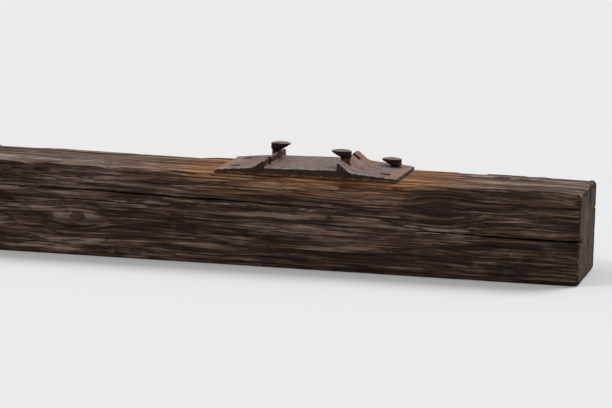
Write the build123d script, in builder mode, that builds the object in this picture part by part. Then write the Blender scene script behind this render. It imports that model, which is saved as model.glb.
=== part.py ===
from build123d import *
from math import radians, tan
import os

# Timber railway sleeper with its two steel tie plates and the cut spikes driven through them.
#
# The sleeper lies along X, the track runs along Y and Z is up. The origin is the centre of the
# timber's bottom face, midway between the two rails. Each plate has a canted rail seat between
# two rolled shoulders, and eight square holes punched through it. The rail foot slides into the
# channel between the shoulders, under the heads of the two line spikes.

# Timber, sawn from one log
timber_length = 102 * IN
timber_width = 9 * IN
timber_depth = 7 * IN
arris_radius = 9.0
end_chamfer = 4.0
grain_slope = 0.011  # the grain turns slowly round the timber as it runs along it

# Its main checks, the deep cracks that drying has opened along the grain. Each is widest and
# deepest at one place, and runs out on both sides of it. Several are widest at the timber's end.
main_checks = [
    # face, place along, place across or up, reach on each side, width, depth
    ("top", 360, -38, 190, 6.0, 34),
    ("top", 60, -66, 240, 4.5, 26),
    ("top", 180, 68, 330, 4.5, 28),
    ("top", -330, 24, 200, 5.5, 32),
    ("top", timber_length / 2, 30, 320, 6.0, 40),
    ("top", -timber_length / 2, -25, 300, 5.0, 36),
    ("front", 520, 126, 420, 5.0, 30),
    ("front", -420, 96, 460, 5.5, 34),
    ("front", timber_length / 2, 84, 520, 6.0, 38),
    ("front", -timber_length / 2, 120, 350, 4.5, 30),
    ("back", 480, 84, 430, 5.5, 34),
    ("back", -560, 110, 480, 5.0, 32),
    ("back", timber_length / 2, 122, 360, 4.5, 30),
    ("back", -timber_length / 2, 70, 450, 6.0, 38),
]
check_overcut = 2.0  # how far a check's cutter stands out of the wood

# Track that the sleeper carries
track_gauge = 56.5 * IN
rail_head_width = 2.72 * IN
rail_foot_width = 5.5 * IN
rail_foot_edge = 11.0

# Tie plate, rolled to its section and sheared to its width
plate_width = 7.75 * IN
field_reach = 118.0  # from the rail foot's edge to the plate's outer end
gauge_reach = 98.0  # from the rail foot's edge to the plate's inner end
seat_thickness = 18.0  # under the middle of the rail
seat_cant = 1 / 40  # the seat leans the rail inwards
foot_clearance = 0.8  # between the rail foot's edge and a shoulder
shoulder_rise = 13.5  # above the edge of the seat
shoulder_land = 5.0
shoulder_slope = 39.0  # degrees, on the outer side
wing_root_thickness = 16.0
wing_end_thickness = 9.0
seat_corner_radius = 1.5
shoulder_top_radius = 2.0
wing_root_radius = 26.0
wing_end_radius = 3.0
plate_corner_radius = 4.0

# Bed that the plate has worn into the timber
bed_depth = 3.5
bed_clearance = 1.0

# Square holes, punched through the plate
hole_side = 11 / 16 * IN
line_hole_spacing = 92.0  # along the rail, the inner sides in line with the foot's edge
wing_hole_spacing = 108.0
wing_hole_edge = 30.0  # from the plate's end to the hole's centre

# Cut spike
shank_side = 5 / 8 * IN
shank_length = 6 * IN
point_length = 28.0
point_edge = 2.4
head_length = 39.5
head_width = 32.0
head_height = 17.5  # from its root on the shank to the dome's top
head_back = 3.6  # overhang behind the shank, the rest is in front, over the rail foot
head_root_radius = 7.0  # where the underside starts, inside the shank
head_flare = 60.0  # degrees between the underside and the shank's axis
head_dome_radius = 75.0
head_rim_chamfer = 1.2

# How the spikes stand
spike_clearance = 0.25  # between a line spike's shank and the rail foot's edge
line_spike_lift = 5.0  # from the rail foot up to the head's root, as traffic has worked it loose
plate_spike_lift = 3.0  # from the level of the wing's end, a little above the sloping wing

# Sizes that follow
rail_centre = (track_gauge + rail_head_width) / 2
foot_half = rail_foot_width / 2
seat_half = foot_half + foot_clearance
shank_half = shank_side / 2
bed_level = timber_depth - bed_depth
field_end = foot_half + field_reach
gauge_end = foot_half + gauge_reach
plate_length = field_end + gauge_end
plate_offset = (field_end - gauge_end) / 2
line_hole_centre = foot_half + hole_side / 2
line_spike_centre = foot_half + spike_clearance + shank_half
field_hole_centre = field_end - wing_hole_edge
gauge_hole_centre = gauge_end - wing_hole_edge
head_centre = shank_half + head_back - head_length / 2
head_flare_radius = head_root_radius + head_height * tan(radians(head_flare))


def seat_height(across):
    """Height of the rail seat above the plate's underside, at a distance across from its middle."""
    return seat_thickness + across * seat_cant


def shoulder_top(side):
    """Height of a shoulder above the plate's underside, side 1 for field and -1 for gauge."""
    return seat_height(side * seat_half) + shoulder_rise


def plate_side(side, reach):
    """Corners of the plate's section on one side, from the edge of the seat to the plate's end."""
    top = shoulder_top(side)
    land_end = seat_half + shoulder_land
    wing_root = land_end + (top - wing_root_thickness) / tan(radians(shoulder_slope))
    return [
        (side * seat_half, seat_height(side * seat_half)),
        (side * seat_half, top),
        (side * land_end, top),
        (side * wing_root, wing_root_thickness),
        (side * reach, wing_end_thickness),
        (side * reach, 0),
    ]


# Tie plate, around the middle of its rail seat, field side towards +X
field_side = plate_side(1, field_end)
gauge_side = plate_side(-1, gauge_end)
corner_radii = [
    seat_corner_radius,
    shoulder_top_radius,
    shoulder_top_radius,
    wing_root_radius,
    wing_end_radius,
]

with BuildPart() as tie_plate:
    with BuildSketch(Plane.XZ) as plate_section:
        with BuildLine():
            Polyline(*field_side, *reversed(gauge_side), close=True)
        make_face()
        for corners in (field_side, gauge_side):
            for corner, radius in zip(corners, corner_radii):
                fillet(plate_section.vertices().sort_by_distance(corner)[0], radius)
    extrude(amount=plate_width / 2, both=True)
    with BuildSketch(Plane.XY) as plate_outline:
        with Locations((plate_offset, 0)):
            RectangleRounded(plate_length, plate_width, plate_corner_radius)
    extrude(amount=shoulder_top(1), mode=Mode.INTERSECT)

    with BuildSketch(Plane.XY) as punched_holes:
        with GridLocations(2 * line_hole_centre, line_hole_spacing, 2, 2):
            Rectangle(hole_side, hole_side)
        with Locations((plate_offset, 0)):
            with GridLocations(field_hole_centre + gauge_hole_centre, wing_hole_spacing, 2, 2):
                Rectangle(hole_side, hole_side)
    extrude(until=Until.LAST, mode=Mode.SUBTRACT)


# Cut spike, around its shank's axis, with the root of the head at Z = 0 and its tip at -X
with BuildPart() as cut_spike:
    # Head, an oval blank with a flared underside and a domed top
    with BuildSketch(Plane.XY) as head_outline:
        with Locations((head_centre, 0)):
            Ellipse(head_length / 2, head_width / 2)
    extrude(amount=head_height)
    Cone(
        head_root_radius,
        head_flare_radius,
        head_height,
        align=(Align.CENTER, Align.CENTER, Align.MIN),
        mode=Mode.INTERSECT,
    )
    with Locations((head_centre, 0, head_height - head_dome_radius)):
        Sphere(head_dome_radius, rotation=(90, 0, 0), mode=Mode.INTERSECT)
    chamfer(cut_spike.faces().sort_by(Axis.Z)[-1].edges(), head_rim_chamfer)

    # Shank, square, with a chisel point across the grain of the timber
    with BuildSketch(Plane.XZ) as shank_profile:
        with BuildLine():
            Polyline(
                (-shank_half, head_height / 2),
                (-shank_half, point_length - shank_length),
                (-point_edge / 2, -shank_length),
                (point_edge / 2, -shank_length),
                (shank_half, point_length - shank_length),
                (shank_half, head_height / 2),
                close=True,
            )
        make_face()
    extrude(amount=shank_half, both=True)


# The two plates and their six spikes, each end of the sleeper turned half round from the other
rail_seats = {
    "right": Plane(origin=(rail_centre, 0, bed_level), x_dir=(1, 0, 0)),
    "left": Plane(origin=(-rail_centre, 0, bed_level), x_dir=(-1, 0, 0)),
}
field_head_level = seat_height(seat_half) + rail_foot_edge + line_spike_lift
gauge_head_level = seat_height(-seat_half) + rail_foot_edge + line_spike_lift
plate_head_level = wing_end_thickness + plate_spike_lift
spike_places = {
    "line_spike_{}_field": Location((line_spike_centre, -line_hole_spacing / 2, field_head_level)),
    "line_spike_{}_gauge": Location(
        (-line_spike_centre, line_hole_spacing / 2, gauge_head_level), (0, 0, 180)
    ),
    "plate_spike_{}_field": Location((field_hole_centre, wing_hole_spacing / 2, plate_head_level)),
}

plates = {}
spikes = {}
for end, rail_seat in rail_seats.items():
    with BuildPart(rail_seat) as placed_plate:
        add(tie_plate.part)
    plates[f"tie_plate_{end}"] = placed_plate
    for name, place in spike_places.items():
        with BuildPart(rail_seat) as placed_spike:
            with Locations(place):
                add(cut_spike.part)
        spikes[name.format(end)] = placed_spike


def grain_plane(face, along, across):
    """Plane on a side face of the timber, with its X along the grain and its Z out of the wood."""
    if face == "top":
        return Plane((along, across, timber_depth), x_dir=(1, -grain_slope, 0), z_dir=(0, 0, 1))
    side = 1 if face == "back" else -1
    origin = (along, side * timber_width / 2, across)
    return Plane(origin, x_dir=(1, 0, side * grain_slope), z_dir=(0, side, 0))


# The checks' cutters, each a wedge between two points on the surface
with BuildPart() as checks:
    for face, along, across, reach, width, depth in main_checks:
        grain = grain_plane(face, along, across)
        mouth = width / 2 * (1 + check_overcut / depth)
        with BuildSketch(
            Plane(grain.origin, x_dir=grain.y_dir, z_dir=grain.x_dir), mode=Mode.PRIVATE
        ) as check_section:
            with BuildLine():
                Polyline((-mouth, check_overcut), (mouth, check_overcut), (0, -depth), close=True)
            make_face()
        ends = [Vertex(*grain.from_local_coords((run, 0, check_overcut))) for run in (-reach, reach)]
        loft(sections=[ends[0], check_section.sketch, ends[1]], ruled=True)


# Timber, with its checks, the two beds and a tight hole round each spike
with BuildPart() as timber:
    with BuildSketch(Plane.YZ) as timber_section:
        with Locations((0, timber_depth / 2)):
            RectangleRounded(timber_width, timber_depth, arris_radius)
    extrude(amount=timber_length / 2, both=True)
    end_faces = timber.faces().sort_by(Axis.X)
    chamfer(end_faces[0].edges() + end_faces[-1].edges(), end_chamfer)
    add(checks.part, mode=Mode.SUBTRACT)

    with BuildSketch(Plane.XY.offset(bed_level)) as beds:
        with Locations((rail_centre + plate_offset, 0), (-rail_centre - plate_offset, 0)):
            RectangleRounded(
                plate_length + 2 * bed_clearance,
                plate_width + 2 * bed_clearance,
                plate_corner_radius + bed_clearance,
            )
    extrude(amount=bed_depth, mode=Mode.SUBTRACT)
    for spike in spikes.values():
        add(spike.part, mode=Mode.SUBTRACT)


os.makedirs("parts", exist_ok=True)
for name, piece in {"timber": timber, **plates, **spikes}.items():
    piece.part.label = name
    export_step(piece.part, f"parts/{name}.step")
    print(name, round(piece.part.volume / 1000, 1), "cm3")
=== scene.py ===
import math

import bmesh
import bpy
import numpy as np
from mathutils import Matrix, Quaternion, Vector


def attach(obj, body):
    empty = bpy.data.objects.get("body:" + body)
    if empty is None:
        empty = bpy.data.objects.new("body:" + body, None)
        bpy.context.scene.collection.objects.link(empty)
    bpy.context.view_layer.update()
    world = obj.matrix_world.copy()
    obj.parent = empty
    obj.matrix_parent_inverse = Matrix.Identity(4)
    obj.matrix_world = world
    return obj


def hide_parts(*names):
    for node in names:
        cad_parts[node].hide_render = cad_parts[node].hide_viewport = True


# Weathered railway sleeper: a checked timber, two rusted tie plates and six cut spikes.
# Lengths are in millimetres until a mesh is made. X runs along the sleeper and Z is up.

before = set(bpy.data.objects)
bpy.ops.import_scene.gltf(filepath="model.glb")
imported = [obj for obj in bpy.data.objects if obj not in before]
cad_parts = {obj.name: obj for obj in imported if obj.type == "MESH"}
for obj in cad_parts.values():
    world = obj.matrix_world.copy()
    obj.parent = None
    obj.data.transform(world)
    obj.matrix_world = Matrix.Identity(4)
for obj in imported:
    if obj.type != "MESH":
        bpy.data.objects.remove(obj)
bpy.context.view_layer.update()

mm = 0.001
halfLength = 1295.4
halfWidth = 114.3
depth = 177.8
railCentre = 752.094  # of each rail, from the middle of the sleeper
bedLevel = 174.3

# The right plate and its holes, from the middle of its rail seat. The left one is turned half round.
fieldEnd = 187.85
gaugeEnd = 167.85
plateHalfWidth = 98.43
seatHalf = 70.65
holeHalf = 8.73
lineHole = (78.58, 46.0)
fieldHole = (157.85, 54.0)
gaugeHole = (137.85, 54.0)
bareHoles = [
    lineHole,
    (-lineHole[0], -lineHole[1]),
    (fieldHole[0], -fieldHole[1]),
    (-gaugeHole[0], gaugeHole[1]),
    (-gaugeHole[0], -gaugeHole[1]),
]
filledHoles = [(lineHole[0], -lineHole[1]), (-lineHole[0], lineHole[1]), fieldHole]


# Soft noise and small helpers


def softNoise(x, y, z, seed):  # from 0 to 1, one lump to each unit, the same at every run
    lows = [np.floor(axis) for axis in (x, y, z)]
    eases = [(axis - low) ** 2 * (3 - 2 * (axis - low)) for axis, low in zip((x, y, z), lows)]
    cells = [low.astype(np.int64) for low in lows]
    total = 0
    for corner in range(8):
        steps = (corner & 1, corner >> 1 & 1, corner >> 2)
        code = (cells[0] + steps[0]) * 73856093  # large odd numbers stir the three places together
        code = code ^ (cells[1] + steps[1]) * 19349663 ^ (cells[2] + steps[2]) * 83492791
        code = (code + seed * 7919) * 2654435761 & 0x7FFFFFFF
        code = (code ^ code >> 13) * 1274126177 & 0x7FFFFFFF
        code = (code ^ code >> 16) / 0x7FFFFFFF
        for ease, step in zip(eases, steps):
            code = code * (ease if step else 1 - ease)
        total = total + code
    return total


def roughNoise(x, y, z, seed, octaves=3):  # finer lumps on the coarse ones, still from 0 to 1
    total = 0
    share = 0
    for octave in range(octaves):
        size = 2**octave
        total = total + softNoise(x * size, y * size, z * size, seed + octave) / size
        share += 1 / size
    return total / share


def fade(value, low, high):  # 0 at low, 1 at high, eased between
    t = np.clip((value - low) / (high - low), 0, 1)
    return t * t * (3 - 2 * t)


def fromHoles(seatX, seatY, holes):  # how far the middle of the nearest square hole is
    gaps = [np.maximum(np.abs(seatX - x), np.abs(seatY - y)) for x, y in holes]
    return np.min(gaps, axis=0)


def linked(name, mesh):
    piece = bpy.data.objects.new(name, mesh)
    bpy.context.scene.collection.objects.link(piece)
    return piece


def paint(mesh, masks):  # one number at each vertex, which the finishes read by name
    for name, values in masks.items():
        layer = mesh.attributes.new(name, "FLOAT", "POINT")
        layer.data.foreach_set("value", np.asarray(values, np.float32).ravel())


# Nodes, written as sums


class Reading:  # a socket that Python can calculate with
    def __init__(self, finish, socket):
        self.finish = finish
        self.socket = socket

    def output(self, name):  # another output of the same node
        return Reading(self.finish, self.socket.node.outputs[name])

    def __add__(self, other):
        return self.finish.maths("ADD", self, other)

    def __sub__(self, other):
        return self.finish.maths("SUBTRACT", self, other)

    def __rsub__(self, other):
        return self.finish.maths("SUBTRACT", other, self)

    def __mul__(self, other):
        return self.finish.maths("MULTIPLY", self, other)

    def __truediv__(self, other):
        return self.finish.maths("DIVIDE", self, other)

    def __rtruediv__(self, other):
        return self.finish.maths("DIVIDE", other, self)

    __radd__ = __add__
    __rmul__ = __mul__


class Finish:  # the nodes of a material or of the world
    def __init__(self, owner):
        self.owner = owner
        owner.use_nodes = True
        self.tree = owner.node_tree
        self.tree.nodes.clear()

    def node(self, kind, settings, inputs, output=0):
        made = self.tree.nodes.new(kind)
        for name, value in settings.items():
            if name == "stops":
                self.setStops(made.color_ramp, value)
            else:
                setattr(made, name, value)
        for name, value in inputs.items():
            if isinstance(value, Reading):
                self.tree.links.new(value.socket, made.inputs[name])
            else:
                made.inputs[name].default_value = value
        return Reading(self, made.outputs[output]) if len(made.outputs) else None

    def setStops(self, ramp, stops):
        while len(ramp.elements) < len(stops):
            ramp.elements.new(1)
        for element, (place, colour) in zip(ramp.elements, stops):
            element.position = place
            element.color = (*colour, 1)

    def maths(self, operation, *values):
        return self.node("ShaderNodeMath", {"operation": operation}, dict(enumerate(values)))

    def vectors(self, operation, *values, output="Vector"):
        settings = {"operation": operation}
        return self.node("ShaderNodeVectorMath", settings, dict(enumerate(values)), output)

    def length(self, vector):
        return self.vectors("LENGTH", vector, output="Value")

    def place(self, *stretch):  # the point on the piece, in metres, stretched where asked
        point = self.node("ShaderNodeTexCoord", {}, {}, "Object")
        return self.vectors("MULTIPLY", point, stretch) if stretch else point

    def shift(self, vector, pull, amount):
        pulled = self.vectors("MULTIPLY", self.vectors("SUBTRACT", pull, (0.5, 0.5, 0.5)), amount)
        return self.vectors("ADD", vector, pulled)

    def noise(self, vector, scale, detail, roughness, output=0):
        inputs = {"Vector": vector, "Scale": scale, "Detail": detail, "Roughness": roughness}
        return self.node("ShaderNodeTexNoise", {}, inputs, output)

    def drawn(self, point, wander, along, across, sway):  # long in X, and swaying
        stretched = self.vectors("MULTIPLY", point, (along, across, across))
        return self.shift(stretched, wander, (0.0, sway, sway))

    def grain(self, point, wander, along, across, sway, detail=4.0, roughness=0.62):
        return self.noise(self.drawn(point, wander, along, across, sway), 1.0, detail, roughness)

    def cellTones(self, vector):  # one grey to each cell
        inputs = {"Vector": vector, "Scale": 1.0}
        colour = self.node("ShaderNodeTexVoronoi", {"feature": "F1"}, inputs, "Color")
        return self.vectors("DOT_PRODUCT", colour, (0.2127, 0.7152, 0.0722), output="Value")

    def cellEdges(self, vector):  # how far the nearest border between two cells is
        inputs = {"Vector": vector, "Scale": 1.0}
        return self.node("ShaderNodeTexVoronoi", {"feature": "DISTANCE_TO_EDGE"}, inputs, "Distance")

    def polar(self, turn, radius):  # a flat point from an angle and a distance
        return self.node("ShaderNodeCombineXYZ", {}, {"X": turn, "Y": radius})

    def mask(self, name):
        return self.node("ShaderNodeAttribute", {"attribute_name": name}, {}, "Fac")

    def seenDirectly(self):  # 1 for the camera, mirrors and glass, 0 for light thrown on the sleeper
        ray = self.node("ShaderNodeLightPath", {}, {})
        mirrored = self.maths("MAXIMUM", ray.output("Is Glossy Ray"), ray.output("Is Transmission Ray"))
        return self.maths("MAXIMUM", ray.output("Is Camera Ray"), mirrored)

    def spread(self, value, low, high):  # 0 at low, 1 at high
        inputs = {"Value": value, "From Min": low, "From Max": high}
        return self.node("ShaderNodeMapRange", {"interpolation_type": "SMOOTHSTEP"}, inputs)

    def tones(self, value, stops):
        return self.node("ShaderNodeValToRGB", {"stops": stops}, {"Fac": value})

    def blend(self, factor, first, second):
        first, second = ((*c, 1) if isinstance(c, tuple) else c for c in (first, second))
        return self.node("ShaderNodeMix", {"data_type": "RGBA"}, {0: factor, 6: first, 7: second}, 2)

    def surface(self, colour, roughness, height, distance, strength, specular):
        relief = {"Strength": strength, "Distance": distance, "Height": height}
        bump = self.node("ShaderNodeBump", {}, relief)
        inputs = {
            "Base Color": colour,
            "Roughness": roughness,
            "Specular IOR Level": specular,
            "Normal": bump,
        }
        shader = self.node("ShaderNodeBsdfPrincipled", {}, inputs)
        self.node("ShaderNodeOutputMaterial", {}, {"Surface": shader})
        return self.owner


# Timber

timberLook = {
    "seed": 41,
    "sharpAngle": 50,  # in degrees, the least that shades as an edge
    "columnStep": 1.6,  # round the section
    "bottomStep": 6.5,
    "rowStep": 12.0,  # along the sleeper
    "bedRowStep": 22.0,  # under the plates
    "endRows": (0.0, 1.3, 3.6, 8.0, 16.0),  # how far the first rows lie from each end
    "bedRows": (1.2, 2.6),  # how far outside a bed's edge a row lies
    "holeRows": (-1.2, 0.3),  # the same for the side of a bare hole, less than 0 inside it
    "endRings": (0.98, 0.945, 0.89, 0.81, 0.71, 0.60, 0.48, 0.36, 0.24, 0.13, 0.05),  # of the way out
    "arrisRadius": 9.0,
    "arrisSteps": 24,
    "grainRunout": 0.011,  # how far the grain slants round the section, per length
    "grainWaver": 8.0,
    "grainJitter": 3.0,
    "ridge": 0.45,  # height of the raised fibres
    "dish": 1.1,
    "arrisWear": 5.5,
    "edgeLoss": 7.5,  # how far the top's edges are worn round, where most
    "edgeReach": 15.0,
    "endFray": 2.4,
    "endRounding": 3.2,
    "bedClearance": 0.25,  # between a plate and the bed's floor
    "oldHoleDepth": 16.0,  # as far down as a bare hole shows
    "pith": (21.0, 66.0),  # y and z of the heart of the log
    "mainChecks": [  # face, place along, place across or up, reach on each side, width, depth
        ("top", 360, -38, 190, 6.0, 34),
        ("top", 60, -66, 240, 4.5, 26),
        ("top", 180, 68, 330, 4.5, 28),
        ("top", -330, 24, 200, 5.5, 32),
        ("top", halfLength, 30, 320, 6.0, 40),
        ("top", -halfLength, -25, 300, 5.0, 36),
        ("front", 520, 126, 420, 5.0, 30),
        ("front", -420, 96, 460, 5.5, 34),
        ("front", halfLength, 84, 520, 6.0, 38),
        ("front", -halfLength, 120, 350, 4.5, 30),
        ("back", 480, 84, 430, 5.5, 34),
        ("back", -560, 110, 480, 5.0, 32),
        ("back", halfLength, 122, 360, 4.5, 30),
        ("back", -halfLength, 70, 450, 6.0, 38),
    ],
    "smallChecks": [  # face, how many, widths on each side and depths
        ("top", 64, (0.5, 1.5), (4, 11)),
        ("front", 54, (0.6, 1.6), (4, 10)),
        ("back", 54, (0.6, 1.6), (4, 10)),
        ("bottom", 8, (0.8, 1.6), (4, 9)),
    ],
    "endSplits": (2, 5),  # 2 to 4 on each face at each end
    "splitLength": (40, 260),
    "splitWidth": (0.5, 1.6),  # on each side
    "splitDepth": (6, 16),
    "pithShakes": 7,  # cracks that start at the pith, on each end
    "splinters": 96,
    "splinterLength": (35, 210),
    "splinterDepth": (1.0, 6.0),
    "stoneDents": 260,
    "dentHeight": (2, 118),  # above the underside
    "dentReach": (5, 13),
    "dentDepth": (0.5, 2.0),
    "stainReach": 105.0,  # how far the plates' rust has run
    "ringWidth": 4.3,  # of a year's growth
    "knots": [  # x, y, z and size
        (318, -114.3, 77, 10),
        (1035, -114.3, 132, 11),
        (-405, 114.3, 118, 12),
        (-955, -114.3, 70, 10),
        (905, 114.3, 60, 13),
        (1120, 46, 177.8, 11),
        (-150, -30, 177.8, 10),
    ],
    "weathered": [  # tones of the wood, from the darkest strands to the lightest
        (0.0, (0.026, 0.014, 0.009)),
        (0.28, (0.086, 0.050, 0.032)),
        (0.52, (0.168, 0.103, 0.069)),
        (0.78, (0.278, 0.182, 0.128)),
        (1.0, (0.410, 0.303, 0.232)),
    ],
    "rusted": [
        (0.0, (0.042, 0.015, 0.007)),
        (0.3, (0.130, 0.048, 0.019)),
        (0.58, (0.258, 0.106, 0.042)),
        (0.82, (0.400, 0.188, 0.080)),
        (1.0, (0.490, 0.275, 0.142)),
    ],
    # darker tones for the sides and underside: creosote, and partly painted shade
    "tarredAndShaded": [
        (0.0, (0.008, 0.004, 0.003)),
        (0.3, (0.034, 0.018, 0.011)),
        (0.58, (0.080, 0.045, 0.027)),
        (0.82, (0.142, 0.087, 0.055)),
        (1.0, (0.235, 0.160, 0.108)),
    ],
    "silver": [(0.1, (0.060, 0.044, 0.037)), (0.5, (0.178, 0.138, 0.118)), (0.95, (0.350, 0.295, 0.263))],
    "knotWood": [(0.32, (0.008, 0.005, 0.003)), (0.5, (0.030, 0.016, 0.010)), (0.68, (0.082, 0.046, 0.028))],
    "endWood": [(0.36, (0.024, 0.013, 0.008)), (0.5, (0.088, 0.053, 0.033)), (0.64, (0.215, 0.144, 0.095))],
    "dust": (0.165, 0.130, 0.100),  # plain colours, laid over the tones
    "knotRim": (0.012, 0.007, 0.005),
    "crack": (0.016, 0.009, 0.006),
    "tarRim": (0.020, 0.012, 0.008),
    # painted shade in the hollows
    "hollow": (0.026, 0.015, 0.010),
    # painted shade deep in the checks and holes
    "deepCheckShade": (0.006, 0.004, 0.003),
}


def sectionTable():  # the rounded section as lengths round it, points and outward normals
    r = timberLook["arrisRadius"]
    steps = timberLook["arrisSteps"]
    spots = [(0.0, 0.0, 0.0, -1.0)]
    corners = [
        (halfWidth - r, r, -90),
        (halfWidth - r, depth - r, 0),
        (r - halfWidth, depth - r, 90),
        (r - halfWidth, r, 180),
    ]
    for y, z, start in corners:
        for step in range(steps + 1):
            turn = math.radians(start + 90 * step / steps)
            c, s = math.cos(turn), math.sin(turn)
            spots.append((y + r * c, z + r * s, c, s))
    spots.append((0.0, 0.0, 0.0, -1.0))
    spots = np.array(spots)
    runs = np.hypot(np.diff(spots[:, 0]), np.diff(spots[:, 1]))
    table = np.concatenate([[0.0], np.cumsum(runs)])
    middles = [table[1 + corner * (steps + 1) + steps // 2] for corner in (1, 2)]
    return table, spots, middles


girthTable, girthSpots, topArrises = sectionTable()
girth = girthTable[-1]


def onSection(s):  # y, z and outward normal at a length round the section
    s = np.mod(s, girth)
    return [np.interp(s, girthTable, girthSpots[:, column]) for column in range(4)]


def shorterWay(goal, place):  # from place to goal, round the section
    return (goal - place + girth / 2) % girth - girth / 2


def columnPlaces():  # lengths round the section, the widest steps on the underside
    half = halfWidth - timberLook["arrisRadius"]
    fine = np.arange(half, girth - half, timberLook["columnStep"])
    count = round(half / timberLook["bottomStep"])
    left = np.linspace(0, half, count, endpoint=False)
    right = np.linspace(girth - half, girth, count + 1)[:-1]
    return np.concatenate([left, fine[:-1], right])


def rowPlaces():  # x of each row, with pairs of rows at the edges of beds and holes
    look = timberLook
    ends = [halfLength - back for back in look["endRows"]]
    bedStart, bedStop = railCentre - gaugeEnd, railCentre + fieldEnd
    beds = [edge for out in look["bedRows"] for edge in (bedStart - out, bedStop + out)]
    sides = [side * (holeHalf + out) for side in (-1, 1) for out in look["holeRows"]]
    holes = [railCentre + x + side for x, _ in bareHoles for side in sides]
    fixed = sorted({round(end * x, 2) for x in ends + beds + holes for end in (-1, 1)})
    places = [fixed[0]]
    for low, high in zip(fixed, fixed[1:]):
        inBed = bedStart < abs(low + high) / 2 < bedStop
        count = max(1, round((high - low) / look["bedRowStep" if inBed else "rowStep"]))
        places.extend(low + (high - low) * (k + 1) / count for k in range(count))
    return np.array(places)


class TimberSkin:  # rows along the sleeper, and columns round it that follow the grain
    maskNames = ("crevice", "cavity", "stain", "side", "endGrain", "dented")

    def __init__(self):
        look = timberLook
        columnU = columnPlaces()
        self.rng = np.random.default_rng(look["seed"])
        self.rowX = rowPlaces()
        self.columns = len(columnU)
        self.x = self.rowX[:, None] + 0 * columnU
        self.u = columnU + 0 * self.x  # round the section
        waver = look["grainWaver"] * (self.lumps(420, 150, 3, 4) - 0.5)
        jitter = look["grainJitter"] * (self.lumps(75, 70, 7, 2) - 0.5)
        self.place = self.u + look["grainRunout"] * self.x + waver + jitter  # with the grain's slant
        _, self.sawnZ, self.sawnNy, self.sawnNz = onSection(self.place)
        self.underside = fade(-self.sawnNz, 0.3, 0.9)
        self.sunk = np.zeros_like(self.x)  # how far the skin has worn below the sawn face
        self.dented = np.zeros_like(self.x)
        self.checkDepth = np.zeros_like(self.x)
        self.taken = np.zeros(self.x.shape, bool)  # where a check already runs
        self.endDepth = {-1: np.zeros(self.columns), 1: np.zeros(self.columns)}
        ny, nz = onSection(columnU)[2:]
        self.face = {
            "top": np.where(nz > 0.8)[0],
            "front": np.where(ny < -0.8)[0],
            "back": np.where(ny > 0.8)[0],
            "bottom": np.where(nz < -0.8)[0],
        }
        self.points = []
        self.masks = {name: [] for name in self.maskNames}
        self.counted = 0
        self.quads = []
        self.fans = []

    def lumps(self, along, across, seed, octaves=1):  # noise in lumps of this size
        return roughNoise(self.x / along, self.u / across, 0 * self.x, seed, octaves)

    def wear(self):  # soft dishing, raised fibres, worn arrises and frayed ends
        look = timberLook
        x = self.x
        weathered = 1 - 0.93 * self.underside
        self.sunk += look["dish"] * self.lumps(170, 26, 11, 3) ** 1.5 * weathered
        fibres = self.lumps(260, 3.3, 21) + 0.6 * self.lumps(90, 1.65, 22)
        self.sunk += look["ridge"] * fibres * (0.45 + 0.9 * self.lumps(210, 31, 23)) * weathered
        arris = 1 - fade(np.abs(np.abs(self.sawnNy) - np.abs(self.sawnNz)), 0.5, 1.0)
        worn = 0.15 + 3.2 * np.clip(self.lumps(95, 90, 31, 3) - 0.42, 0, 1)
        self.sunk += look["arrisWear"] * arris * worn * (1 - 0.6 * self.underside)
        for number, middle in enumerate(topArrises):
            gap = shorterWay(self.place, middle)
            loss = fade(roughNoise(x / 210, 0 * x + 7 * number, 0 * x, 35, 3), 0.36, 0.72)
            self.sunk += look["edgeLoss"] * loss * np.exp(-((gap / look["edgeReach"]) ** 2))
        fromEnd = halfLength - np.abs(x)
        self.sunk += look["endFray"] * np.exp(-fromEnd / 26) * self.lumps(60, 7, 33)
        self.sunk += look["endRounding"] * fade(-fromEnd, -4.4, 0.4)

    def pressDents(self):  # where stones have stood against the sides
        look, rng = timberLook, self.rng
        for _ in range(look["stoneDents"]):
            centreX = rng.uniform(-halfLength, halfLength)
            side = rng.choice([-1, 1])
            centreZ = rng.uniform(*look["dentHeight"])
            reach = rng.uniform(*look["dentReach"])
            press = rng.uniform(*look["dentDepth"])
            near = np.abs(self.rowX - centreX) < 2.2 * reach
            ny = self.sawnNy[near]
            gap = np.hypot((self.x[near] - centreX) / 1.4, self.sawnZ[near] - centreZ) / reach
            hit = (np.sign(ny) == side) & (np.abs(ny) > 0.5)
            self.sunk[near] += press * np.where(hit, np.exp(-1.6 * gap**2), 0)
            self.dented[near] = np.maximum(self.dented[near], np.where(hit, np.exp(-1.2 * gap**2), 0))

    # A check is one sunk column, with the columns beside it drawn up to its edges
    def openCheck(self, column, start, stop, width, deep, power=0.5):  # width on each side
        rowX, place, columns = self.rowX, self.place, self.columns
        t = np.minimum(rowX - start, stop - rowX) / ((stop - start) / 2)
        inside = t > 0
        around = np.ix_(inside, np.arange(column - 4, column + 5) % columns)
        if inside.sum() < 3 or self.taken[around].any():
            return False
        self.taken[around] = True
        swell = np.clip(t, 0, 1) ** power
        swell = swell * (0.62 + 0.55 * softNoise(rowX / 38, 0 * rowX, 0 * rowX + column, 51))
        swell = np.where(inside, swell, 0)
        hold = np.clip(swell * 4, 0, 1)
        for side in (-1, 1):
            for rank in (1, 2):
                near = (column + side * rank) % columns
                goal = place[:, column] + side * np.maximum(0.25 * rank, width * rank / 2 * swell)
                place[:, near] += hold * shorterWay(goal, place[:, near])
            self.checkDepth[:, (column + side) % columns] += 0.42 * deep * swell
        self.checkDepth[:, column] += deep * swell
        step = self.rng.uniform(-1.3, 1.3)  # one side of the check stands lower
        for rank in range(2, 9):
            near = (column + int(math.copysign(rank, step))) % columns
            self.sunk[:, near] += abs(step) * swell * (1 - (rank - 2) / 7)
        for end in (-1, 1):
            if swell[0 if end < 0 else -1] > 0.3:
                self.endDepth[end][column] = deep
        return True

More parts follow.
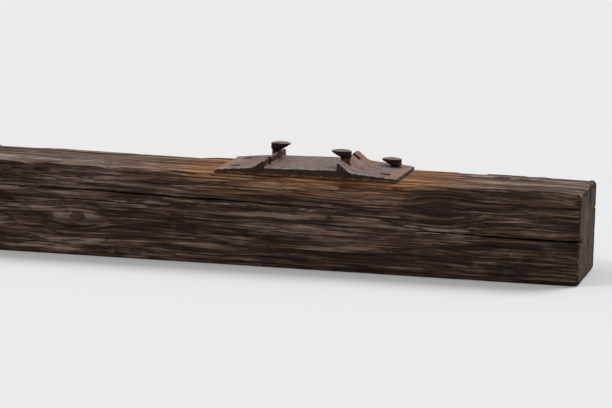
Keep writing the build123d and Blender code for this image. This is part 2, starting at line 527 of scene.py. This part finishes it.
    def openMainChecks(self):  # the ones that the solid has too
        y, z = onSection(self.place)[:2]
        for face, along, across, reach, width, deep in timberLook["mainChecks"]:
            row = int(np.argmin(np.abs(self.rowX - along)))
            goalY = {"top": across, "front": -halfWidth, "back": halfWidth}[face]
            goalZ = depth if face == "top" else across
            column = int(np.argmin((y[row] - goalY) ** 2 + (z[row] - goalZ) ** 2))
            self.openCheck(column, along - reach, along + reach, width / 2, deep, power=0.85)

    def openEndSplits(self):
        look, rng = timberLook, self.rng
        for face in ("top", "front", "back"):
            for end in (-1, 1):
                for _ in range(rng.integers(*look["endSplits"])):
                    column = int(rng.choice(self.face[face][6:-6]))
                    length = rng.uniform(*look["splitLength"])
                    start, stop = end * halfLength - length, end * halfLength + length
                    width = rng.uniform(*look["splitWidth"])
                    self.openCheck(column, start, stop, width, rng.uniform(*look["splitDepth"]))

    def openSmallChecks(self, face, count, widths, depths):
        rng = self.rng
        made = 0
        for _ in range(count * 12):
            if made >= count:
                break
            column = int(rng.choice(self.face[face][5:-5]))
            length = float(np.clip(rng.lognormal(5.5, 0.6), 90, 1000))
            start = rng.uniform(-halfLength - 60, halfLength - 60)
            width = rng.uniform(*widths) * (0.6 + length / 700)
            deep = rng.uniform(*depths) * (0.6 + length / 900)
            run = rng.choice([-1, 1])
            for _ in range(rng.integers(1, 4)):  # checks step sideways in a family
                made += self.openCheck(column, start, start + length, min(width, 2.7), deep)
                column = int(column + run * rng.integers(5, 10)) % self.columns
                start += length * rng.uniform(0.35, 0.8)
                length *= rng.uniform(0.5, 1.0)
                width *= 0.8

    def breakSplinters(self):  # slivers gone along the grain, near the top's arrises
        look, rng = timberLook, self.rng
        edges = [int(self.face["top"][0]), int(self.face["top"][-1])]
        for number in range(look["splinters"]):
            large = number % 9 == 0
            middle = int(rng.choice(edges)) + int(rng.integers(-9, 10)) // (3 if large else 1)
            spread = int(rng.integers(2, 8)) + (3 if large else 0)
            start = rng.uniform(-halfLength, halfLength)
            length = rng.uniform(*look["splinterLength"])
            t = (self.rowX - start) / length * rng.choice([-1, 1])
            broken = np.where((t > 0) & (t < 1), np.clip(1 - t, 0, 1) ** 0.7, 0)
            broken = broken * rng.uniform(*look["splinterDepth"]) * (1.8 if large else 1.0)
            for offset in range(-spread, spread + 1):
                column = (middle + offset) % self.columns
                self.sunk[:, column] += broken * (1 - 0.4 * abs(offset) / (spread + 1))

    def addPoints(self, x, y, z, **masks):  # a mask that isn't given is 0
        self.points.append(np.stack([x, y, z], -1).reshape(-1, 3))
        for name in self.maskNames:
            self.masks[name].append(np.broadcast_to(masks.get(name, 0.0), x.shape).ravel())
        self.counted += x.size
        return np.arange(self.counted - x.size, self.counted).reshape(x.shape)

    def addBand(self, first, second):  # quads between closed rows of points
        after = np.roll(np.arange(self.columns), -1)
        corners = [first, second, second[..., after], first[..., after]]
        self.quads.append(np.stack(corners, -1).reshape(-1, 4))

    def addSkin(self):
        look = timberLook
        self.rimY, self.rimZ, ny, nz = onSection(self.place)
        self.total = np.maximum(self.sunk, 0) + self.checkDepth
        x = self.x
        y = self.rimY - ny * self.total
        z = np.maximum(self.rimZ - nz * self.total, 0)

        # Beds under the plates, and the old holes that show through them
        seatX, seatY = np.abs(x) - railCentre, y * np.sign(x)
        inBed = (seatX > -gaugeEnd - 1.5) & (seatX < fieldEnd + 1.5)
        inBed = inBed & (np.abs(y) < plateHalfWidth + 1.9) & (nz > 0.3)
        pit = inBed * np.clip((holeHalf + 0.4 - fromHoles(seatX, seatY, bareHoles)) / 1.4, 0, 1)
        floor = bedLevel - look["bedClearance"] - look["oldHoleDepth"] * pit
        z = np.where(inBed, np.minimum(z, floor), z)

        # Masks for the finish
        blurred = sum(np.roll(self.total, shift, 1) for shift in range(-4, 5)) / 9
        crevice = np.clip(self.checkDepth / 3.5, 0, 1)
        outX = np.maximum(np.maximum(-gaugeEnd - seatX, seatX - fieldEnd), 0)
        outY = np.maximum(np.abs(y) - plateHalfWidth, 0)
        below = np.maximum(bedLevel + 3 - z, 0)
        reach = look["stainReach"] * (0.45 + 1.1 * self.lumps(190, 6, 61))
        self.index = self.addPoints(
            x,
            y,
            z,
            # crevice: painted shade deep in the checks and in the bare holes
            crevice=np.maximum(crevice, 0.85 * pit),
            # cavity: painted shade in the hollows that lie below the skin around them
            cavity=np.clip((self.total - blurred) / 1.5, 0, 1),
            stain=np.exp(-outX / reach) * np.exp(-outY / 60) * np.exp(-below / 34),
            # side picks the sides and underside for the tarred tones: creosote, and partly painted shade
            side=np.maximum(fade(np.abs(self.sawnNy), 0.5, 0.9), 0.9 * self.underside),
            dented=self.dented,
        )
        self.addBand(self.index[:-1], self.index[1:])

    def addEnd(self, end):  # the sawn end, as rings from the rim to the pith
        look, rng = timberLook, self.rng
        rim = 0 if end < 0 else -1
        pithY, pithZ = look["pith"]
        split = self.endDepth[end]
        for shift, weight in ((1, 0.55), (2, 0.2)):
            for side in (-1, 1):
                split = np.maximum(split, weight * np.roll(self.endDepth[end], side * shift))
        reach = np.hypot(self.rimY[rim] - pithY, self.rimZ[rim] - pithZ)
        inward = 1 - (2.0 * split + 6) / reach  # the share of the way out at which a check's foot lies
        shakes = []
        for _ in range(look["pithShakes"]):
            centre = rng.integers(0, self.columns)
            away = (np.arange(self.columns) - centre + self.columns / 2) % self.columns - self.columns / 2
            width = rng.uniform(1.6, 5.0)
            shake = rng.uniform(3, 12) * np.clip(1 - np.abs(away) / width, 0, 1)
            shakes.append((shake, rng.uniform(0.2, 0.8)))
        last = self.index[rim]
        for rank, share in enumerate(look["endRings"]):
            held = np.minimum(share, 1 - (self.total[rim] + 0.35 * (rank + 1)) / reach)
            y = pithY + (self.rimY[rim] - pithY) * held
            z = pithZ + (self.rimZ[rim] - pithZ) * held
            sawn = 0.4 + 1.1 * roughNoise(y / 24, z / 24, 0 * y + end, 71, 2)
            opened = np.minimum(0.35 * split, 7) * np.clip((share - inward) / (1 - inward), 0, 1)
            for shake, reached in shakes:
                running = np.clip((reached - share) / 0.3, 0, 1) * fade(share, 0, 0.12)
                opened = np.maximum(opened, shake * running)
            x = end * (halfLength - sawn - opened)
            # crevice on the ends: painted shade in the opened checks
            ring = self.addPoints(x, y, z, crevice=np.clip(opened / 5, 0, 1), side=share, endGrain=1)
            self.addBand(*((last, ring) if end > 0 else (ring, last)))
            last = ring
        heart = np.array([[end * (halfLength - 2.5)], [pithY], [pithZ]])
        middle = self.addPoints(*heart, endGrain=1) + 0 * last
        after = np.roll(last, -1)
        fan = (last, middle, after) if end > 0 else (after, middle, last)
        self.fans.append(np.stack(fan, -1))

    def mesh(self):
        made = bpy.data.meshes.new("wornTimber")
        faces = np.concatenate(self.quads).tolist() + np.concatenate(self.fans).tolist()
        made.from_pydata((np.concatenate(self.points) * mm).tolist(), [], faces)
        paint(made, {name: np.concatenate(values) for name, values in self.masks.items()})
        made.shade_smooth()
        made.set_sharp_from_angle(angle=math.radians(timberLook["sharpAngle"]))
        print("timber:", len(self.rowX), "rows,", self.columns, "columns,", len(faces), "faces")
        return made


def timberMesh():
    skin = TimberSkin()
    skin.wear()
    skin.pressDents()
    skin.openMainChecks()
    skin.openEndSplits()
    for checks in timberLook["smallChecks"]:
        skin.openSmallChecks(*checks)
    skin.breakSplinters()
    skin.addSkin()
    for end in (-1, 1):
        skin.addEnd(end)
    return skin.mesh()


def grainRoundKnots(f):  # the point at which the grain is read, and the way to the nearest knot
    point = f.place()
    core = 9.0  # in knot sizes
    for knot in timberLook["knots"]:
        *spot, size = (value * mm for value in knot)
        gap = f.vectors("SUBTRACT", point, tuple(spot))
        near = f.length(f.vectors("MULTIPLY", gap, (0.42, 1.0, 1.0)))
        pull = f.spread(near, 3.8 * size, 0.4 * size) * 0.8
        point = f.vectors("SUBTRACT", point, f.vectors("MULTIPLY", gap, pull))
        oval = f.length(f.vectors("MULTIPLY", gap, (0.72, 1.0, 1.0)))
        core = f.maths("MINIMUM", core, oval / size)
    return point, core


def growthRings(f, point):  # round the pith, the same on the sides and on the ends
    drift = f.noise(f.place(1.1, 0.0, 0.0), 1.0, 1.0, 0.5, "Color")
    waves = f.noise(f.vectors("MULTIPLY", point, (1.7, 16.0, 16.0)), 1.0, 2.0, 0.5)
    ripple = f.noise(f.vectors("MULTIPLY", point, (7.0, 75.0, 75.0)), 1.0, 2.0, 0.5)
    pithY, pithZ = timberLook["pith"]
    heart = f.shift(f.vectors("MULTIPLY", point, (0.0, 1.0, 1.0)), drift, (0.0, 0.07, 0.07))
    fromPith = f.vectors("SUBTRACT", heart, (0.0, pithY * mm, pithZ * mm))
    years = f.length(fromPith) + (waves - 0.5) * 0.022 + (ripple - 0.5) * 0.0035
    season = f.maths("FRACT", years / (timberLook["ringWidth"] * mm))
    late = f.spread(season, 0.55, 0.95) * (1 - f.spread(season, 0.96, 1.0))
    return fromPith, late


def sawnEnd(f, fromPith, late, cloud, blotch):  # its colour, and where it has checked
    look = timberLook
    apart = f.node("ShaderNodeSeparateXYZ", {}, {0: fromPith})
    turn = f.maths("ARCTAN2", apart.output("Z"), apart.output("Y"))
    radius = f.length(fromPith)
    rays = f.noise(f.polar(turn * 34.0, radius * 9.0), 1.0, 3.0, 0.6)
    checked = f.spread(f.noise(f.polar(turn * 15.0, radius * 6.0), 1.0, 3.0, 0.6), 0.36, 0.29)
    colour = f.tones(rays * 0.45 + cloud * 0.35 + blotch * 0.2, look["endWood"])
    outer = f.spread(f.mask("side") + (blotch - 0.5) * 0.7, 0.50, 1.0)
    colour = f.blend(outer * 0.6, colour, look["tarRim"])
    faint = f.spread(f.noise(f.place(1.0, 26.0, 26.0), 1.0, 2.0, 0.5), 0.30, 0.62)
    return f.blend(f.maths("MAXIMUM", checked, late * faint * 0.5), colour, look["crack"]), checked


def timberFinish():
    look = timberLook
    f = Finish(bpy.data.materials.new("weatheredTimber"))
    point, core = grainRoundKnots(f)
    fromPith, late = growthRings(f, point)

    # Fibres, the strands that they part into, and the fine cracks between them
    wander = f.noise(f.place(2.2, 9.0, 9.0), 1.0, 2.0, 0.5, "Color")
    ragged = f.noise(f.vectors("MULTIPLY", point, (26.0, 90.0, 90.0)), 1.0, 2.0, 0.6, "Color")
    bands = f.grain(point, wander, 1.2, 38.0, 2.0)
    lines = f.grain(point, wander, 4.5, 190.0, 6.0)
    fibre = f.grain(point, wander, 14.0, 560.0, 9.0, roughness=0.68)
    split = f.grain(point, wander, 5.0, 105.0, 4.0, 3.0)
    cloud = f.noise(f.place(5.0, 11.0, 11.0), 1.0, 4.0, 0.6)
    blotch = f.noise(f.place(13.0, 30.0, 30.0), 1.0, 4.0, 0.62)
    coarse = f.shift(f.drawn(point, wander, 4.6, 82.0, 3.0), ragged, (0.0, 0.7, 0.7))
    fine = f.shift(f.drawn(point, wander, 13.0, 235.0, 6.0), ragged, (0.0, 1.1, 1.1))
    strand = f.cellTones(coarse) * 0.6 + f.cellTones(fine) * 0.4
    parted = f.spread(f.cellEdges(coarse), 0.075, 0.02) * f.spread(bands, 0.49, 0.59)
    hair = f.spread(f.cellEdges(fine), 0.10, 0.03) * f.spread(lines, 0.55, 0.42)
    crack = f.maths("MAXIMUM", parted, hair * 0.7)
    crack = f.maths("MAXIMUM", crack, f.spread(f.maths("MINIMUM", lines, split), 0.365, 0.315))
    tone = bands * 0.26 + lines * 0.34 + fibre * 0.26 + strand * 0.14 - late * 0.045
    tone = f.spread(tone, 0.385, 0.605)

    # Weathered on top, tarred on the sides and underside (creosote, partly painted shade), then bleached,
    # stained by the plates and dusty
    side = f.mask("side")
    dry = f.spread(cloud, 0.50, 0.68)
    tarredAndShaded = f.tones(tone, look["tarredAndShaded"])
    colour = f.blend(side * (1 - dry * 0.55), f.tones(tone, look["weathered"]), tarredAndShaded)
    bleached = blotch * 0.4 + bands * 0.3 + lines * 0.3 + (strand - 0.5) * 0.12
    bleached = f.spread(bleached, 0.50, 0.58) * (0.75 - side * 0.45)
    colour = f.blend(bleached, colour, f.tones(tone, look["silver"]))
    stained = f.spread(f.mask("stain") + (lines - 0.5) * 0.6 + (blotch - 0.5) * 0.5, 0.10, 0.62)
    colour = f.blend(stained * (1 - side * 0.35), colour, f.tones(tone, look["rusted"]))
    dusty = f.spread(f.mask("dented") + (blotch - 0.5) * 1.2 + (lines - 0.5) * 1.4, 0.45, 1.2)
    colour = f.blend(dusty * 0.35, colour, look["dust"])

    # Knots and cracks
    lumpy = f.noise(f.place(), 75.0, 3.0, 0.6)
    core = core + (lumpy - 0.5) * 0.9 + (lines - 0.5) * 1.1
    knotted = f.spread(core, 1.0, 0.82)
    knotTone = f.maths("SINE", core * 23.0) * 0.08 + lumpy * 0.55 + fibre * 0.25 + core * 0.12
    colour = f.blend(knotted * 0.85, colour, f.tones(knotTone, look["knotWood"]))
    knotRim = f.spread(f.maths("ABSOLUTE", core - 1.0), 0.16, 0.03)
    colour = f.blend(knotRim * 0.8, colour, look["knotRim"])
    colour = f.blend(crack * (0.78 - stained * 0.14), colour, look["crack"])

    end = f.mask("endGrain")
    endColour, checked = sawnEnd(f, fromPith, late, cloud, blotch)
    colour = f.blend(end, colour, endColour)
    # Painted shade: the hollows are darkened
    colour = f.blend(f.mask("cavity") * 0.7, colour, look["hollow"])
    # Painted shade deep in the checks and the old holes
    colour = f.blend(f.mask("crevice"), colour, look["deepCheckShade"])
    roughness = 0.94 - side * 0.14 + crack * 0.05
    height = bands * 0.45 + lines * 0.5 + fibre * 0.35 + strand * 0.35 + late * 0.16
    height = height - crack * 0.9 - checked * end * 0.8 + knotted * 0.5
    return f.surface(colour, roughness, height, distance=0.0022, strength=0.95, specular=0.22)


# Steel pieces: a fine even skin over the CAD shape, then pitted and worn inwards


def fineSkin(name, node, voxel):
    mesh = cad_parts[node].data.copy()
    welded = bmesh.new()
    welded.from_mesh(mesh)
    bmesh.ops.remove_doubles(welded, verts=welded.verts, dist=1e-5)
    welded.to_mesh(mesh)
    welded.free()
    mesh.materials.clear()
    piece = linked(name, mesh)
    skin = piece.modifiers.new("fineSkin", "REMESH")
    skin.mode = "VOXEL"
    skin.voxel_size = voxel * mm
    made = bpy.data.meshes.new_from_object(piece.evaluated_get(bpy.context.evaluated_depsgraph_get()))
    piece.modifiers.clear()
    piece.data = made
    made.name = name
    bpy.data.meshes.remove(mesh)
    return piece


def readMesh(mesh):  # points in millimetres, and normals
    points = np.zeros(len(mesh.vertices) * 3)
    mesh.vertices.foreach_get("co", points)
    normals = np.zeros(len(mesh.vertices) * 3)
    mesh.vertices.foreach_get("normal", normals)
    return points.reshape(-1, 3) / mm, normals.reshape(-1, 3)


def moveMesh(mesh, points, sharpAngle):
    mesh.vertices.foreach_set("co", (points * mm).ravel())
    mesh.shade_smooth()
    mesh.set_sharp_from_angle(angle=math.radians(sharpAngle))
    mesh.update()


# Tie plates

plateLook = {
    "seed": {"right": 100, "left": 140},
    "sharpAngle": 60,
    "voxel": 1.35,
    "waver": 0.35,  # slow unevenness of the rolled skin
    "pitting": 0.5,
    "edgeWear": 0.9,
    "shearedEdge": 8.0,  # how far in from a sheared edge the top bends down
    "shearedDrop": 2.0,
    "scale": [  # tones of the steel, from dark to light
        (0.0, (0.042, 0.021, 0.015)),
        (0.3, (0.110, 0.063, 0.047)),
        (0.6, (0.180, 0.121, 0.101)),
        (1.0, (0.270, 0.205, 0.182)),
    ],
    "hues": [(0.38, (0.185, 0.166, 0.163)), (0.50, (0.210, 0.126, 0.106)), (0.62, (0.292, 0.160, 0.083))],
    "orange": [(0.3, (0.085, 0.024, 0.008)), (0.5, (0.220, 0.074, 0.023)), (0.7, (0.400, 0.160, 0.056))],
    "polished": [(0.3, (0.052, 0.034, 0.027)), (0.7, (0.160, 0.114, 0.094))],
    "flaked": ((0.070, 0.030, 0.018), (0.165, 0.078, 0.046)),
    # painted shade for the plate's sides
    "flankShade": (0.017, 0.007, 0.004),  # plain colours, laid over the tones
    # painted highlight on the sloped faces
    "slopeHighlight": (0.300, 0.160, 0.112),
    "tan": (0.300, 0.175, 0.095),
    # scraped metal with a painted highlight, along the sheared edges
    "scrapedAndHighlight": (0.365, 0.312, 0.290),
    "pit": (0.040, 0.018, 0.011),
    "punched": (0.045, 0.023, 0.016),
}


def tiePlate(end):
    look = plateLook
    node = f"tie_plate_{end}"
    piece = fineSkin(f"rusted_{node}", node, look["voxel"])
    points, normals = readMesh(piece.data)
    x, y, z = points.T.copy()
    side = 1 if end == "right" else -1
    seatX, seatY = side * x - railCentre, side * y
    fromEnds = np.minimum(seatX + gaugeEnd, fieldEnd - seatX)
    fromSheared = plateHalfWidth - np.abs(y)
    rim = 1 - fade(np.minimum(fromEnds, fromSheared), 0.5, 7)
    topward = fade(normals[:, 2], 0.3, 0.8)
    onSeat = (1 - fade(np.abs(seatX), seatHalf - 4, seatHalf)) * topward

    # Pitted and dinged, with the sheared edges bent down
    seed = look["seed"][end]
    slow = roughNoise(x / 40, y / 40, z / 40, seed, 2)
    pits = np.clip(roughNoise(x / 5.5, y / 5.5, z / 5.5, seed + 5, 3) - 0.5, 0, 1) * 3
    dings = np.clip(roughNoise(x / 13, y / 13, z / 9, seed + 9, 2) - 0.52, 0, 1) * 6
    sunk = look["waver"] * slow + look["pitting"] * pits * (1 - 0.7 * onSeat) * (0.4 + 0.9 * slow)
    sunk += look["edgeWear"] * dings * rim
    points -= normals * sunk[:, None]
    sheared = np.clip(1 - fromSheared / look["shearedEdge"], 0, 1)
    points[:, 2] -= look["shearedDrop"] * sheared**2 * topward * (0.7 + 0.6 * slow)
    masks = {
        "seat": onSeat,
        "rim": rim,
        "low": 1 - fade(points[:, 2], bedLevel + 1, bedLevel + 9),
        "pits": np.clip(pits, 0, 1),
        "punched": 1 - fade(fromHoles(seatX, seatY, bareHoles + filledHoles), holeHalf + 0.2, 14),
        "topward": topward,
        "slope": fade(1 - normals[:, 2], 0.03, 0.18) * topward * (1 - rim),
        "sheared": fade(sheared, 0.15, 0.5) * topward,
        "tip": (1 - fade(fromEnds, 8, 53)) * topward,
    }
    paint(piece.data, masks)
    moveMesh(piece.data, points, look["sharpAngle"])
    print(node, len(piece.data.polygons), "faces")
    return piece


def plateFinish():
    look = plateLook
    f = Finish(bpy.data.materials.new("rustedPlate"))
    even = f.place()
    patches = f.noise(even, 21.0, 5.0, 0.62)
    mottle = f.noise(even, 85.0, 4.0, 0.62)
    scaly = f.noise(f.shift(even, patches, (0.02, 0.02, 0.02)), 62.0, 6.0, 0.68)
    grit = f.noise(even, 480.0, 3.0, 0.62)
    tone = f.spread(patches * 0.38 + mottle * 0.36 + grit * 0.26, 0.33, 0.66)
    hue = f.noise(f.shift(even, patches, (0.03, 0.03, 0.03)), 13.0, 3.0, 0.55)
    colour = f.blend(0.55, f.tones(tone, look["scale"]), f.tones(hue, look["hues"]))

    # Where a layer of scale has come off, and where fresh rust blooms
    low = f.mask("low")
    rim = f.mask("rim")
    seat = f.mask("seat")
    flaked = f.spread(scaly + (grit - 0.5) * 0.08, 0.525, 0.580)
    colour = f.blend(flaked * (0.6 - seat * 0.3), colour, f.blend(grit, *look["flaked"]))
    bloom = f.spread(patches + (grit - 0.5) * 0.3, 0.56, 0.68) * (0.55 - seat * 0.3)
    edge = f.spread(low * 0.8 + rim * 0.25 + (mottle - 0.5) * 1.4, 0.46, 1.0)
    orange = f.tones(mottle * 0.55 + grit * 0.45, look["orange"])
    colour = f.blend(f.maths("MAXIMUM", bloom, edge * 0.85), colour, orange)

    # The seat is rubbed, the flanks get painted shade, the slopes a painted highlight, the tips are paler
    # with tan rust, and the sheared edges are scraped with a painted highlight
    polished = f.tones(mottle, look["polished"])
    colour = f.blend(seat * f.spread(patches, 0.30, 0.55) * 0.75, colour, polished)
    # Painted shade: the faces that don't look up are darkened, less where edge rust is
    flankShade = 1 - f.mask("topward")
    colour = f.blend(flankShade * (1 - edge * 0.7) * 0.95, colour, look["flankShade"])
    # Painted highlight: the sloped faces are made paler and pinker
    slopeHighlight = f.mask("slope") * f.spread(patches + (mottle - 0.5) * 0.6, 0.36, 0.58)
    colour = f.blend(slopeHighlight * 0.55, colour, look["slopeHighlight"])
    tanned = f.spread(f.mask("tip") + (mottle - 0.5) * 1.3, 0.35, 1.0)
    colour = f.blend(tanned * 0.55, colour, look["tan"])
    # Partly scraped metal, partly a painted highlight along the sheared top edges
    scrapedAndHighlight = f.mask("sheared") * f.spread(grit * 0.4 + mottle * 0.5 + patches * 0.4, 0.50, 0.76)
    colour = f.blend(scrapedAndHighlight * 0.9, colour, look["scrapedAndHighlight"])
    colour = f.blend(f.mask("pits") * 0.6, colour, look["pit"])
    colour = f.blend(f.mask("punched") * 0.5, colour, look["punched"])
    roughness = 0.70 + (grit - 0.5) * 0.35 - seat * 0.14 + edge * 0.15 + flaked * 0.1
    height = grit * 0.45 + mottle * 0.5 - flaked * 0.35
    return f.surface(colour, roughness, height, distance=0.0010, strength=0.9, specular=0.22)


# Cut spikes

spikeLook = {
    "firstSeed": 200,
    "seedStep": 17,
    "sharpAngle": 60,
    "voxel": 0.85,
    "headHeight": 18.0,  # from the top down to where the shank starts
    "hammering": 0.9,
    "scale": 0.45,  # how deep it has flaked
    "chipping": 0.8,
    # near-black tones: dark scale, and partly painted shade
    "dark": [(0.3, (0.004, 0.002, 0.002)), (0.5, (0.012, 0.006, 0.004)), (0.7, (0.050, 0.023, 0.014))],
    "worn": [(0.3, (0.085, 0.058, 0.050)), (0.5, (0.195, 0.145, 0.132)), (0.72, (0.330, 0.272, 0.252))],
    "orange": [(0.32, (0.070, 0.020, 0.007)), (0.68, (0.330, 0.115, 0.036))],
    # worn metal, partly a painted highlight
    "rim": (0.270, 0.215, 0.195),
    # painted shade in the heads' dents and chips
    "hollow": (0.012, 0.006, 0.004),
}


def cutSpike(node, seed):
    look = spikeLook
    piece = fineSkin(f"rusted_{node}", node, look["voxel"])
    points, normals = readMesh(piece.data)
    x, y, z = points.T.copy()
    root = z.max() - look["headHeight"]
    topward = fade(normals[:, 2], 0.45, 0.8)
    head = fade(z, root, root + 3)
    blows = np.clip(roughNoise(x / 11, y / 11, z / 11, seed, 2) - 0.42, 0, 1) * 2
    flakes = roughNoise(x / 4, y / 4, z / 8, seed + 4, 3)
    chips = np.clip(roughNoise(x / 7, y / 7, z / 4, seed + 8, 2) - 0.5, 0, 1) * 3
    sunk = look["hammering"] * blows * topward * head + look["scale"] * flakes
    sunk += look["chipping"] * chips * head * (1 - topward)
    points -= normals * sunk[:, None]
    masks = {
        "struck": topward * head,
        "flakes": flakes,
        "skirt": 1 - fade(points[:, 2], root - 2, root + 5),
        # rim: the heads' sloping sides, for worn metal and a painted highlight
        "rim": fade(normals[:, 2], 0.1, 0.4) * (1 - fade(normals[:, 2], 0.75, 0.95)) * head,
        # painted shade in the dents and chips of the heads
        "hollow": np.clip(chips + 0.7 * blows * topward - 0.25, 0, 1) * head,
    }
    paint(piece.data, masks)
    moveMesh(piece.data, points, look["sharpAngle"])
    print(node, len(piece.data.polygons), "faces")
    return piece


def spikeFinish():
    look = spikeLook
    f = Finish(bpy.data.materials.new("rustedSpike"))
    even = f.place()
    patches = f.noise(even, 55.0, 4.0, 0.62)
    runs = f.noise(f.place(150.0, 150.0, 45.0), 1.0, 3.0, 0.6)
    grit = f.noise(even, 640.0, 3.0, 0.6)
    struck = f.mask("struck")
    rim = f.mask("rim")
    tone = patches * 0.45 + grit * 0.25 + f.mask("flakes") * 0.3
    # Worn tones on the struck tops; near-black elsewhere, partly dark scale and partly painted shade
    colour = f.blend(struck * 0.92, f.tones(tone, look["dark"]), f.tones(tone, look["worn"]))
    # Partly worn metal, partly a painted highlight on the heads' sloping sides
    colour = f.blend(rim * f.spread(grit, 0.4, 0.6) * 0.7, colour, look["rim"])
    rust = f.spread(patches * 0.6 + runs * 0.4 + f.mask("skirt") * 0.14, 0.56, 0.72)
    orange = f.tones(grit * 0.5 + runs * 0.5, look["orange"])
    colour = f.blend(rust * (0.85 - struck * 0.5), colour, orange)
    # Painted shade in the dents and chips of the heads
    colour = f.blend(f.mask("hollow") * 0.6, colour, look["hollow"])
    roughness = 0.76 + (grit - 0.5) * 0.3 - struck * 0.16
    height = patches * 0.4 + grit * 0.45 + runs * 0.3
    return f.surface(colour, roughness, height, distance=0.0010, strength=0.85, specular=0.15)


# Pieces

timber = linked("weathered_timber", timberMesh())
timber.data.materials.append(timberFinish())
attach(timber, "root")
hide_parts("timber")

plateSteel = plateFinish()
for end in ("right", "left"):
    plate = tiePlate(end)
    plate.data.materials.append(plateSteel)
    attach(plate, "root")
    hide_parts(f"tie_plate_{end}")

spikeSteel = spikeFinish()
spikeNodes = [f"line_spike_{end}_{side}" for end in ("right", "left") for side in ("field", "gauge")]
spikeNodes += ["plate_spike_right_field", "plate_spike_left_field"]
for number, node in enumerate(spikeNodes):
    spike = cutSpike(node, spikeLook["firstSeed"] + number * spikeLook["seedStep"])
    spike.data.materials.append(spikeSteel)
    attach(spike, "root")
    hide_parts(node)


# Stage, light and camera

stageLook = {
    "floorSize": 400.0,  # in metres
    "floorSeen": 0.80,
    "floorBounce": 0.50,  # of the light that the floor throws back on the sleeper
    "ambient": 0.48,
    "backdrop": 0.832,
    "lamps": [  # name, strength, softness in degrees and where it shines from
        ("softKey", 1.75, 28.0, (0.55, 0.75, 1.15)),
        ("rakingFill", 0.55, 20.0, (-0.75, -0.65, 1.05)),
    ],
}


def buildStage():
    look = stageLook
    mesh = bpy.data.meshes.new("studioFloor")
    half = look["floorSize"] / 2
    corners = [(-half, -half, 0), (half, -half, 0), (half, half, 0), (-half, half, 0)]
    mesh.from_pydata(corners, [], [(0, 1, 2, 3)])
    floor = linked("studioFloor", mesh)
    f = Finish(bpy.data.materials.new("palePaper"))
    shade = f.blend(f.seenDirectly(), (look["floorBounce"],) * 3, (look["floorSeen"],) * 3)
    shader = f.node("ShaderNodeBsdfDiffuse", {}, {"Color": shade})
    f.node("ShaderNodeOutputMaterial", {}, {"Surface": shader})
    mesh.materials.append(f.owner)

    for name, strength, softness, shinesFrom in look["lamps"]:
        lamp = bpy.data.lights.new(name, "SUN")
        lamp.energy = strength
        lamp.angle = math.radians(softness)
        holder = linked(name, lamp)
        holder.rotation_mode = "QUATERNION"
        holder.rotation_quaternion = Vector(shinesFrom).to_track_quat("Z", "Y")

    world = bpy.data.worlds.new("studioRoom")
    bpy.context.scene.world = world
    w = Finish(world)
    white = (1, 1, 1, 1)
    room = w.node("ShaderNodeBackground", {}, {"Color": white, "Strength": look["ambient"]})
    backdrop = w.node("ShaderNodeBackground", {}, {"Color": white, "Strength": look["backdrop"]})
    choice = w.node("ShaderNodeMixShader", {}, {0: w.seenDirectly(), 1: room, 2: backdrop})
    w.node("ShaderNodeOutputWorld", {}, {"Surface": choice})


cameraLook = {
    "azimuth": 12.0,
    "elevation": 8.5,
    "roll": 1.65,
    "lens": 197.0,
    "sensor": 36.0,
    "distance": 6.5,  # in metres, as the target is
    "target": (0.745, 0.0, 0.110),
}


def buildCamera():
    look = cameraLook
    camera = bpy.data.cameras.new("camera")
    camera.sensor_width = look["sensor"]
    camera.lens = look["lens"]
    camera.clip_end = 1000.0
    holder = linked("camera", camera)
    a, e = math.radians(look["azimuth"]), math.radians(look["elevation"])
    back = Vector((math.sin(a) * math.cos(e), -math.cos(a) * math.cos(e), math.sin(e)))
    holder.location = Vector(look["target"]) + back * look["distance"]
    holder.rotation_mode = "QUATERNION"
    level = (-back).to_track_quat("-Z", "Y")
    holder.rotation_quaternion = level @ Quaternion((0, 0, 1), math.radians(look["roll"]))
    bpy.context.scene.camera = holder


buildStage()
buildCamera()
bpy.context.scene.view_settings.view_transform = "Standard"
print("stage and camera")
